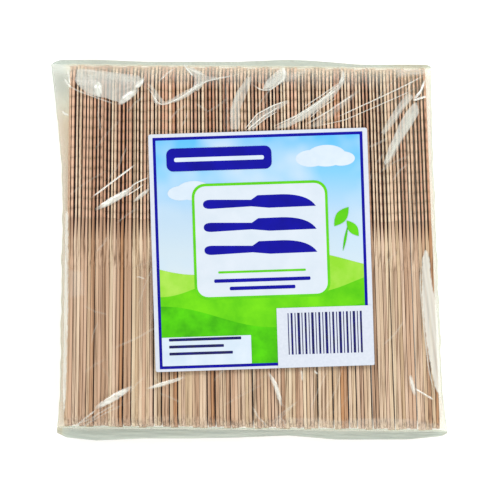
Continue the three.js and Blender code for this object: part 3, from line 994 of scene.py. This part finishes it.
def film_material():
    material, tree, output = bare_material("clear_film")
    facing = add(tree, "LayerWeight", {"Blend": 0.5})["Facing"]
    # Painted shade: the weld ramp darkens the seals far past two layers of film.
    doubled_and_shaded = ramp(
        tree, attribute(tree, "weld")["Fac"],
        (0.0, (0.955, 0.972, 0.945, 1)),
        (1.0, (0.61, 0.66, 0.625, 1)))
    slanted = ramp(tree, facing, (0.72, WHITE), (1.0, (0.58, 0.72, 0.6, 1)))
    clear = add(tree, "BsdfTransparent", {"Color": mix(tree, 1.0, doubled_and_shaded, slanted, "MULTIPLY")})["BSDF"]
    # Painted bounce light: the wood's warm light is painted into the milk's colour.
    milk_and_bounce_tone = ramp(
        tree, attribute(tree, "painted_wood_bounce")["Fac"],
        (0.0, (0.93, 0.97, 0.9, 1)),
        (0.4, (0.95, 0.97, 0.82, 1)),
        (1.0, (0.88, 0.77, 0.56, 1)))
    scattered = add(tree, "BsdfDiffuse", {"Color": milk_and_bounce_tone})["BSDF"]
    let_through = add(tree, "BsdfTranslucent", {"Color": milk_and_bounce_tone})["BSDF"]
    milk_and_sheen = blend(tree, THROUGH_SHARE, scattered, let_through)
    wrinkles = noise(tree, place_on_object(tree), scale=420, detail=3)
    crinkle = bump(tree, wrinkles, strength=0.25, distance=0.2 * MM)
    gloss = add(tree, "BsdfAnisotropic", {"Color": WHITE, "Roughness": 0.13, "Normal": crinkle})["BSDF"]
    glance = add(tree, "Math", {0: facing, 1: GLANCE_POWER}, operation="POWER")["Value"]
    sum_up = {0: glance, 1: GLANCE_MIRROR, 2: FLAT_MIRROR}
    mirror = add(tree, "Math", sum_up, operation="MULTIPLY_ADD")["Value"]
    hazy_and_sheen = blend(tree, attribute(tree, "haze_and_sheen")["Fac"], clear, milk_and_sheen)
    plug(tree, output, {"Surface": blend(tree, mirror, hazy_and_sheen, gloss)})
    return material


clear_film = film_material()
print("the film uses", len(clear_film.node_tree.nodes), "nodes")

# %% [markdown]
# ## The tube and its vent hole
# Each ring is joined to the next by a belt of four-sided faces. A bag like this often has a small hole in
# its back, so that air can leave when packs are stacked. We leave out the faces inside the hole and pull
# the points of its rim onto a true circle.

# %% Join the rings and punch the vent
VENT_DIAMETER = 5 * MM
VENT_PLACE = (48 * MM, -52 * MM)
BACK_TOLERANCE = 0.05 * MM


def ring_faces(ring_count, points_per_ring):
    index = np.arange(ring_count * points_per_ring).reshape(ring_count, points_per_ring)
    a, b = index[:-1], np.roll(index, -1, axis=1)[:-1]
    c, d = np.roll(index, -1, axis=1)[1:], index[1:]
    return np.stack([a, b, c, d], axis=2).reshape(-1, 4)


def punch_vent(points, quads):
    low = points[:, 2] < BACK_HEIGHT + BACK_TOLERANCE
    centre = np.array(VENT_PLACE)
    away = np.linalg.norm(points[:, :2] - centre, axis=1)
    out = low[quads].all(axis=1) & (away[quads].mean(axis=1) < VENT_DIAMETER / 2)
    hole_rim = np.intersect1d(quads[out], quads[~out])
    spokes = (points[hole_rim, :2] - centre) / away[hole_rim, None]
    points[hole_rim, :2] = centre + spokes * VENT_DIAMETER / 2
    return quads[~out].tolist()


film_faces = punch_vent(shifted, ring_faces(*bag.shape[:2]))
print("the tube has", len(film_faces), "faces")

# %% [markdown]
# ## Lying on the film
# The ribbons and veils that come next are drawn flat and have to lie on the film, seen from any side. A ray
# sent straight down from above finds the film's height under each point. A search tree over the film's
# faces makes thousands of such rays quick.

# %% Find the height of the film
ABOVE_ALL = 50 * MM
DOWN = Vector((0, 0, -1))
film_tree = BVHTree.FromPolygons(shifted.tolist(), film_faces)


def film_height(points):
    hits = [film_tree.ray_cast(Vector((x, y, ABOVE_ALL)), DOWN)[0] for x, y in points]
    return np.array([hit.z if hit else math.nan for hit in hits])


print("in the middle the film lies at", round(film_height([(0, 0)])[0] / MM, 2), "mm")

# %% [markdown]
# ## Painted highlights on the creases
# The bright line of a crease is a ribbon of six lines of points, raised in the middle, with a painted
# highlight laid on as milk. A drawn path has only a few corners, so it is smoothed first. A streak keeps its
# width and ends quickly, and a flash swells like a leaf. Slow waves make both thin out and fade here and
# there.

# %% Cut the crease ribbons
RIBBON_PROFILE = (
    (-1, 0, 0), (-0.6, 0.35, 0.75), (-0.2, 0.95, 1),
    (0.2, 0.95, 1), (0.6, 0.35, 0.75), (1, 0, 0))
RIBBON_STEP = 0.5 * MM
RIBBON_GAP = 0.03 * MM
RIBBON_WAVE = 0.14
HIGHEST_STEP = 1 * MM
RIBBON_WIDTH, RIBBON_RISE, RIBBON_WISPS = (0.3, 0.7), (0.05, 0.5), (0.8, 0.35)
LEAF_FULLNESS = 0.8
BLUNT_END, END_SWELL = 0.05, 5
HIGHLIGHT_FILL = 1.3
LABEL_COVER = 0.3


def smooth_path(path, points=60, rounds=12):
    line = resample(path, np.linspace(0, along(path)[-1], points))
    for _ in range(rounds):
        line[1:-1] = (line[:-2] + 2 * line[1:-1] + line[2:]) / 4
    return line


def strip_faces(start, lines, count):
    faces = []
    for k in range(lines - 1):
        for i in range(count - 1):
            a = start + k * count + i
            faces.append((a, a + 1, a + count + 1, a + count))
    return faces


def crease_ribbons():
    points, faces, milk_and_sheen = [], [], []
    drawn = [(crease, False) for crease in streaks] + [(crease, True) for crease in flashes]
    for (path, high, wide, painted_sheen), leaf_shaped in drawn:
        bent = smooth_path(path)
        length = along(bent)[-1]
        line = resample(bent, np.linspace(0, length, max(4, int(length / RIBBON_STEP))))
        middle = film_height(line)
        line, middle = line[~np.isnan(middle)], middle[~np.isnan(middle)]
        count = len(line)
        t = np.linspace(0, 1, count)
        leaf_ends = np.sin(np.pi * t) ** LEAF_FULLNESS
        blunt_ends = np.minimum(1, END_SWELL * np.minimum(t, 1 - t) + BLUNT_END)
        ends = leaf_ends if leaf_shaped else blunt_ends
        swell = ends * (1 + RIBBON_WAVE * waves(t * length, count + len(points), 9, 4, 2.3))
        faces += strip_faces(len(points), len(RIBBON_PROFILE), count)
        for share, rise, hazy_and_sheen in RIBBON_PROFILE:
            place = line + inward(line) * (share * wide * MM * graded(RIBBON_WIDTH, swell))[:, None]
            cover = off_label(place)
            under = film_height(place)
            under = np.where(np.abs(under - middle) < HIGHEST_STEP, under, middle)
            height = under + graded(RIBBON_RISE, rise) * high * MM * swell * cover + RIBBON_GAP
            points += np.column_stack([place, height]).tolist()
            wisps = np.minimum(graded(RIBBON_WISPS, waves(t * length, len(points), 17, 8, 3.3)), 1)
            filled = np.minimum(1, swell * HIGHLIGHT_FILL)
            # Painted highlight: the ribbon's brightness is laid on as milk.
            milk_and_sheen += (painted_sheen * hazy_and_sheen * filled * wisps * (cover > LABEL_COVER)).tolist()
    return points, faces, milk_and_sheen


ribbons = crease_ribbons()
print("cut ribbons of", len(ribbons[1]), "faces")

# %% [markdown]
# ## Veils
# The veils are painted reflections and sheen, pale patches laid on as milk. A veil is a thin sheet over
# such a patch: its corners are rounded off, a grid of rows fills it from rim to rim, and each point is set
# on the film by the same ray. Its painted brightness fades at the frayed rim and is mottled inside.

# %% Fill a veil with rows
VEIL_CORNERS = 120
VEIL_COLUMNS = 22
VEIL_STEP = 0.45 * MM
VEIL_GAP = 0.015 * MM
VEIL_HEM = 0.1 * MM
VEIL_FRAY = 0.3 * MM
WHOLE_RIM = 0.15 * MM
VEIL_MOTTLE = 0.25
ROUNDING = 5


def rounded_off(corners):
    closed = np.vstack([corners, corners[:1]])
    ring = resample(closed, np.linspace(0, along(closed)[-1], VEIL_CORNERS + 1))[:-1]
    for _ in range(ROUNDING):
        ring = (np.roll(ring, 1, axis=0) + 2 * ring + np.roll(ring, -1, axis=0)) / 4
    return ring


def veil_grid(ring):
    across = 0.5 - 0.5 * np.cos(np.linspace(0, np.pi, VEIL_COLUMNS))
    ends = np.roll(ring, -1, axis=0)
    grid = []
    for y in np.arange(ring[:, 1].min() + VEIL_STEP / 4, ring[:, 1].max(), VEIL_STEP):
        hit = (ring[:, 1] > y) != (ends[:, 1] > y)
        x = ring[hit, 0] + (y - ring[hit, 1]) / (ends[hit, 1] - ring[hit, 1]) * (ends[hit, 0] - ring[hit, 0])
        left = max(x.min(), side_face(y, "left") - SIDE_ROOM)
        right = min(x.max(), side_face(y, "right") + SIDE_ROOM)
        grid.append(np.column_stack([left + (right - left) * across, np.full(VEIL_COLUMNS, y)]))
    return np.array(grid)


first_grid = veil_grid(rounded_off(placed(VEILS)[0][0]))
print("the first veil has", len(first_grid), "rows")

# %% [markdown]
# A row is left out where a ray misses the film. The rim is frayed by fast waves and the inside mottled by
# slower ones, so that no veil looks cut out with scissors.

# %% Lay the veils on the film
def veil_sheets():
    points, faces, milk_and_sheen = [], [], []
    for corners, painted_sheen, soft in placed(VEILS):
        ring = rounded_off(corners)
        grid = veil_grid(ring)
        heights = film_height(grid.reshape(-1, 2)).reshape(grid.shape[:2])
        whole = ~np.isnan(heights).any(axis=1)
        spots, heights = grid[whole].reshape(-1, 2), heights[whole].ravel()
        x, y = spots.T
        edge = distance_to(np.vstack([ring, ring[:1]]), spots)
        frayed = VEIL_FRAY * waves(x - 0.7 * y, 6, 6, 2.7, 1.3) * (edge > WHOLE_RIM)
        mottle = 1 + VEIL_MOTTLE * waves(x + 0.15 * y, 5, 7, 3.1, 1.9)
        # Painted reflection: the veil's brightness is laid on as milk.
        milk_and_sheen += (painted_sheen * mottle * rising(edge + frayed, VEIL_HEM, soft * MM) * off_label(spots)).tolist()
        faces += strip_faces(len(points), whole.sum(), VEIL_COLUMNS)
        points += np.column_stack([spots, heights + VEIL_GAP]).tolist()
    return points, faces, milk_and_sheen


veils = veil_sheets()
print("laid veils of", len(veils[1]), "faces")

# %% [markdown]
# ## The film's pieces
# The ribbons and veils share a material of their own: see-through where the haze is 0, and a painted
# highlight, pale milk with a soft shine, where it is 1. Then the tube itself stands in for the imported bag.

# %% Make the creases, the veils and the bag
CREASE_SHINE = 0.25


def crease_material():
    material, tree, output = bare_material("crease_highlight_film")
    clear = add(tree, "BsdfTransparent", {})["BSDF"]
    gloss = add(tree, "BsdfAnisotropic", {"Roughness": 0.2})["BSDF"]
    # The milk is a painted highlight and painted reflection, a white laid on the film.
    milk_and_sheen = add(tree, "BsdfDiffuse", {"Color": (0.96, 0.98, 0.88, 1)})["BSDF"]
    crease = blend(tree, attribute(tree, "haze_and_sheen")["Fac"], clear, blend(tree, CREASE_SHINE, milk_and_sheen, gloss))
    plug(tree, output, {"Surface": crease})
    return material


creased = crease_material()
for name, (points, faces, milk_and_sheen) in (("film_crease_highlights", ribbons), ("film_veil_reflections", veils)):
    piece = make_piece(name, points, faces, [creased], smooth=True)
    note(piece, "haze_and_sheen", np.clip(milk_and_sheen, 0, 1))

film_bag = make_piece("film_bag_wrinkled", shifted, film_faces, [clear_film], smooth=True)
note(film_bag, "haze_and_sheen", np.clip(haze_and_sheen, 0, 1))
note(film_bag, "weld", film_tint_and_shade)
note(film_bag, "painted_wood_bounce", painted_wood_bounce)
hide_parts("film_bag")
print("the film has", len(film_bag.data.polygons), "faces")

# %% [markdown]
# ## The seam on the back
# The film came off the roll flat. It was folded into a tube and welded along the middle of the back, and
# the spare edge lies flat against the tube as a narrow flap, clear like the rest but twice as thick. Nobody
# sees it while the pack lies on its back, so a plain strip with a wavy free edge is enough. It is milky
# along the weld and at its free edge.

# %% Weld the seam on the back
SEAM_WIDTH = 9 * MM
SEAM_HEIGHT = 0.07 * MM
SEAM_LAP = 2 * MM
SEAM_WAVE = 0.5 * MM
SEAM_STEPS = 120
SEAM_MILK = {0: 0.05, 0.2: 0.3, 0.24: 0.3, 0.6: 0.08, 1: 0.16}


def back_seam():
    reach = KNIFE_END - FRONT_ROUND[-1]
    y = np.linspace(-reach, reach, SEAM_STEPS)
    free = SEAM_WIDTH + SEAM_WAVE * waves(y, 31, 47, 21, 8)
    height = np.full(SEAM_STEPS, SEAM_HEIGHT)
    lines = [np.column_stack([share * free - SEAM_LAP, y + ROW_MIDDLE, height]) for share in SEAM_MILK]
    milk_and_sheen = np.repeat(list(SEAM_MILK.values()), SEAM_STEPS)
    return np.vstack(lines), strip_faces(0, len(lines), SEAM_STEPS), milk_and_sheen


seam_points, seam_faces, seam_milk = back_seam()
seam = make_piece("back_seam", seam_points, seam_faces, [clear_film], smooth=True)
note(seam, "haze_and_sheen", seam_milk)
note(seam, "weld", 2 * seam_milk)
print("the back seam is", round(SEAM_WIDTH / MM, 1), "mm wide")

# %% [markdown]
# ## The label's paper and inks
# The label is coated paper stuck on the outside of the film, a little askew. Its print is made of crisp
# shapes of ink, each a hair above the one below, like a stack of cut paper. That keeps every edge sharp at
# any zoom, which a painted picture wouldn't. Each ink wanders between two near tones, and the sky fades
# from a deep blue at the top to a pale haze over the hills.

# %% Mix the paper and the inks
INK_STEP = 0.012 * MM
INK_GLOSS = {"Roughness": 0.5, "Specular IOR Level": 0.15}
SKY_FOOT = 14 * MM
SKY_HEAD = 52 * MM


def ink(name, bright, dull, scale):
    material, tree, sheet = new_material(name)
    speckle = noise(tree, place_on_object(tree), scale, detail=5)
    tone = ramp(tree, speckle, (0.35, screen_colour(*dull)), (0.65, screen_colour(*bright)))
    plug(tree, sheet, {"Base Color": tone, **INK_GLOSS})
    return material


def sky_ink():
    material, tree, sheet = new_material("sky_ink")
    place = place_on_object(tree)
    up = add(tree, "SeparateXYZ", {"Vector": place})["Y"]
    sky = {"Value": up, "From Min": LABEL_PLACE[1] - SKY_FOOT, "From Max": LABEL_PLACE[1] + SKY_HEAD}
    fade = ramp(
        tree, add(tree, "MapRange", sky)["Result"],
        (0.0, screen_colour(206, 218, 222)),
        (0.45, screen_colour(180, 206, 226)),
        (0.75, screen_colour(126, 194, 238)),
        (1.0, screen_colour(84, 180, 242)))
    drift = noise(tree, place, scale=38, detail=2)
    cloudy = ramp(tree, drift, (0.42, (0, 0, 0, 1)), (0.75, WHITE))
    plug(tree, sheet, {"Base Color": mix(tree, cloudy, fade, screen_colour(190, 212, 228)), **INK_GLOSS})
    return material


INKS = {
    "paper": ink("label_paper", (210, 216, 226), (202, 209, 220), 900),
    "sky": sky_ink(),
    "far_hill": ink("far_hill_ink", (168, 218, 84), (136, 206, 44), 60),
    "mid_hill": ink("mid_hill_ink", (112, 212, 14), (80, 186, 6), 60),
    "near_hill": ink("near_hill_ink", (84, 204, 2), (54, 158, 2), 70),
    "navy": ink("navy_ink", (4, 2, 156), (2, 0, 138), 90),
    "plaque": ink("plaque_ink", (210, 219, 228), (203, 214, 224), 90),
    "lime": ink("lime_ink", (98, 204, 20), (84, 190, 14), 90),
    "cloud": ink("cloud_ink", (210, 222, 232), (198, 214, 228), 90),
    "bars": ink("bar_ink", (28, 30, 70), (20, 20, 110), 300),
}
print("mixed", len(INKS), "inks")

# %% [markdown]
# ## Shapes for the print
# Every shape is a list of corners in the label's own millimetres, from its middle, right and up. A few
# functions draw them: a rounded box, a disc, a hill, a leaf and a little knife.

# %% Draw with a few functions
def rounded(x0, y0, x1, y1, radius, steps=6):
    left, right, low, high = x0 + radius, x1 - radius, y0 + radius, y1 - radius
    corners = []
    for cx, cy, start in ((right, low, -90), (right, high, 0), (left, high, 90), (left, low, 180)):
        for i in range(steps + 1):
            angle = math.radians(start + 90 * i / steps)
            corners.append((cx + radius * math.cos(angle), cy + radius * math.sin(angle)))
    return corners


def disc(cx, cy, radius, squash, steps=40):
    turn = [2 * math.pi * i / steps for i in range(steps)]
    return [(cx + radius * math.cos(t), cy + squash * radius * math.sin(t)) for t in turn]


def hill(left, right, bottom, height, swell, length, phase, steps=60):
    top = [left + (right - left) * i / steps for i in range(steps + 1)]
    crest = [(x, height + swell * math.sin(2 * math.pi * x / length + phase)) for x in reversed(top)]
    return [(left, bottom), (right, bottom)] + crest


def leaf(cx, cy, length, width, angle, steps=10):
    t = [i / steps for i in range(steps + 1)]
    upper = [(length * (a - 0.5), width / 2 * math.sin(math.pi * a)) for a in t]
    lower = [(x, -y) for x, y in reversed(upper[1:-1])]
    c, s = math.cos(angle), math.sin(angle)
    return [(cx + x * c - y * s, cy + x * s + y * c) for x, y in upper + lower]


def little_knife(cx, cy):
    tip = bend((10, 3.6), (22, 3.4), (25.5, -2.2), 10)
    grip = bend((-22.5, -2.1), (-26, -2.1), (-26, 0), 5)
    end = bend((-26, 0), (-26, 2.1), (-22.5, 2.1), 5)
    shape = np.vstack([tip, [(4, -2.4), (-4, -1.5)], grip, end[1:], [(-4, 1.5), (-1, 3.5)]])
    return [(cx + x, cy + y) for x, y in shape[::-1]]


print("a little knife has", len(little_knife(0, 0)), "corners")

# %% [markdown]
# ## The design
# The design is a plain one: a sky with clouds, three green hills, a pale plaque with three knives, dark
# lines, a sprig, and a white patch with bars that encode nothing. The list runs from the lowest ink to the
# highest.

# %% Lay out the print
LEFT, RIGHT = -LABEL_WIDTH / MM / 2, LABEL_WIDTH / MM / 2
BOTTOM, TOP = -LABEL_HEIGHT / MM / 2, LABEL_HEIGHT / MM / 2
FRAME = (LEFT + 1.9, BOTTOM + 1.2, RIGHT - 2.2, TOP - 1.6)
LINE = 1.35
INNER = (FRAME[0] + LINE, FRAME[1] + LINE, FRAME[2] - LINE, FRAME[3] - LINE)
HILL_FOOT = (INNER[0], INNER[2], INNER[1])
SKYLINE = -10
CLOUDS = ((24, 41, 7), (31, 42, 9), (38, 40.5, 6), (-36, 27, 6), (-30, 28, 8))
NOTE_BARS = (33, 25, 29)
PATCH = (RIGHT - 44, BOTTOM, RIGHT, BOTTOM + 27.4)
BAR_LEFT, BAR_RIGHT = PATCH[0] + 5.2, PATCH[0] + 38.4
BAR_COUNT = 22
BAR_WIDTHS = (0.45, 0.9, 0.45, 1.15)

PRINT = [
    ("navy", rounded(*FRAME, 0.2)),
    ("sky", rounded(*INNER, 0.1)),
    *[("cloud", disc(x, y, radius, 0.55)) for x, y, radius in CLOUDS],
    ("far_hill", hill(*HILL_FOOT, SKYLINE + 4, swell=4.5, length=92, phase=0.4)),
    ("mid_hill", hill(*HILL_FOOT, SKYLINE - 6, swell=4.2, length=70, phase=2.6)),
    ("near_hill", hill(*HILL_FOOT, SKYLINE - 20, swell=5.5, length=104, phase=4.4)),
    ("lime", rounded(-31, -22, 31, 31, 6)),
    ("plaque", rounded(-29.8, -20.8, 29.8, 29.8, 5)),
    *[("navy", little_knife(0, y)) for y in (21.5, 11, 0.5)],
    ("lime", rounded(-20, -10.2, 20, -9.2, 0.4)),
    ("navy", rounded(-22, -14.4, 22, -12.8, 0.6)),
    ("navy", rounded(-15, -18, 15, -16.4, 0.6)),
    ("navy", rounded(-42, 37, 6, 47.5, 3)),
    ("cloud", rounded(-38.5, 41.3, 2.5, 43.2, 0.8)),
    ("lime", leaf(37, 14, 11, 5, 0.9)),
    ("lime", leaf(42, 8.5, 9, 4.2, 2.2)),
    ("near_hill", leaf(38.5, 4, 12, 1.1, 1.35)),
    ("cloud", rounded(INNER[0], INNER[1], -6, INNER[1] + 13, 0.3)),
]
for i, long in enumerate(NOTE_BARS):
    PRINT.append(("bars", rounded(-43.5, -40.5 - 3.2 * i, -43.5 + long, -39.2 - 3.2 * i, 0.3)))
PRINT.append(("paper", rounded(PATCH[0], PATCH[1] + 0.1, PATCH[2] - 0.1, PATCH[3], 0.3)))
for i in range(BAR_COUNT):
    wide = BAR_WIDTHS[i % len(BAR_WIDTHS)]
    x = BAR_LEFT + (BAR_RIGHT - BAR_LEFT) * i / (BAR_COUNT - 1)
    PRINT.append(("bars", rounded(x - wide / 2, PATCH[1] + 6, x + wide / 2, PATCH[1] + 25, 0.05, 1)))
print("the print has", len(PRINT), "shapes")

# %% [markdown]
# ## The label
# The sheet itself has a face, a back and an edge, with slightly rounded corners. One function turns and
# lifts the shapes into place, so the design can be drawn as if the label were straight. They are added to
# the sheet's own mesh, each with its own material, so that the label stays one piece. Bars that follow each
# other never overlap, so they share one level.

# %% Stick the label on
CORNER_RADIUS = 1.0
LABEL_TOP = LABEL_HIGH[2]


def lay(corners, z):
    c, s = math.cos(LABEL_TURN), math.sin(LABEL_TURN)
    across, up = LABEL_PLACE
    return [(across + (x * c - y * s) * MM, up + (x * s + y * c) * MM, z) for x, y in corners]


def label_mesh():
    names = list(INKS)
    sheet = rounded(LEFT, BOTTOM, RIGHT, TOP, CORNER_RADIUS)
    n = len(sheet)
    points = lay(sheet, LABEL_LOW[2]) + lay(sheet, LABEL_TOP)
    faces = [tuple(range(n - 1, -1, -1)), tuple(range(n, 2 * n))]
    faces += [(i, (i + 1) % n, n + (i + 1) % n, n + i) for i in range(n)]
    inks = [names.index("paper")] * len(faces)
    level, below = 0, None
    for name, corners in PRINT:
        if not name == below == "bars":
            level += 1
        below = name
        start = len(points)
        points += lay(corners, LABEL_TOP + level * INK_STEP)
        faces.append(tuple(range(start, len(points))))
        inks.append(names.index(name))
    return points, faces, inks


label_points, label_faces, label_inks = label_mesh()
label = make_piece("label_printed", label_points, label_faces, list(INKS.values()), label_inks)
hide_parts("label")
highest_ink = max(z for _, _, z in label_points)
print("the label stands", round((highest_ink - LABEL_LOW[2]) / MM, 2), "mm above the film")

# %% [markdown]
# ## The floor
# The photograph has a white ground with hardly a shadow, as in a light tent. A big white sheet that glows a
# little by itself gives that: its own light washes the shadows out without whitening the pack.

# %% Lay the white ground
FLOOR_REACH = 4
FLOOR_GLOW = 0.26


def floor_piece():
    material, tree, paint = new_material("white_ground")
    mottle = noise(tree, place_on_object(tree), scale=6, detail=2)
    plug(tree, paint, {
        "Base Color": ramp(tree, mottle, (0.3, (0.96, 0.96, 0.96, 1)), (0.7, (0.98, 0.98, 0.98, 1))),
        "Roughness": 0.9,
        "Emission Color": WHITE,
        "Emission Strength": FLOOR_GLOW})
    r = FLOOR_REACH
    mesh = bpy.data.meshes.new("floor")
    mesh.from_pydata([(-r, -r, 0), (r, -r, 0), (r, r, 0), (-r, r, 0)], [], [(0, 1, 2, 3)])
    mesh.materials.append(material)
    piece = bpy.data.objects.new("floor", mesh)
    bpy.context.scene.collection.objects.link(piece)


floor_piece()
print("the ground is", 2 * FLOOR_REACH, "m wide")

# %% [markdown]
# ## The light
# The light is soft and comes from all round, with no lamp straight above, which the film would mirror. Four
# large soft lamps stand round the pack, low enough that flat film stays clear and only the sides of the
# creases catch them. Three are strong and one is weak, so the creases have a bright and a dim side.

# %% Light the pack
LAMPS = {
    "upper_left_lamp": (125, 48, 2.3),
    "upper_right_lamp": (40, 45, 3.0),
    "lower_left_lamp": (215, 42, 0.6),
    "lower_right_lamp": (-50, 42, 2.6),
}
LAMP_SIZE = (0.5, 0.32)
LAMP_DISTANCE = 1.0
TENT_LIGHT = 0.68


def soft_lamp(name, azimuth, elevation, power):
    data = bpy.data.lights.new(name, "AREA")
    data.shape = "RECTANGLE"
    data.size, data.size_y = LAMP_SIZE
    data.energy = power
    lamp = bpy.data.objects.new(name, data)
    a, e = math.radians(azimuth), math.radians(elevation)
    out = LAMP_DISTANCE * math.cos(e)
    lamp.location = (out * math.cos(a), out * math.sin(a), LAMP_DISTANCE * math.sin(e))
    lamp.rotation_euler = (math.pi / 2 - e, 0, a + math.pi / 2)
    bpy.context.scene.collection.objects.link(lamp)


for name, (azimuth, elevation, power) in LAMPS.items():
    soft_lamp(name, azimuth, elevation, power)

world = bpy.data.worlds.new("light_tent")
world.use_nodes = True
plug(world.node_tree, world.node_tree.nodes["Background"], {"Color": WHITE, "Strength": TENT_LIGHT})
bpy.context.scene.world = world
bpy.context.scene.view_settings.view_transform = "Standard"
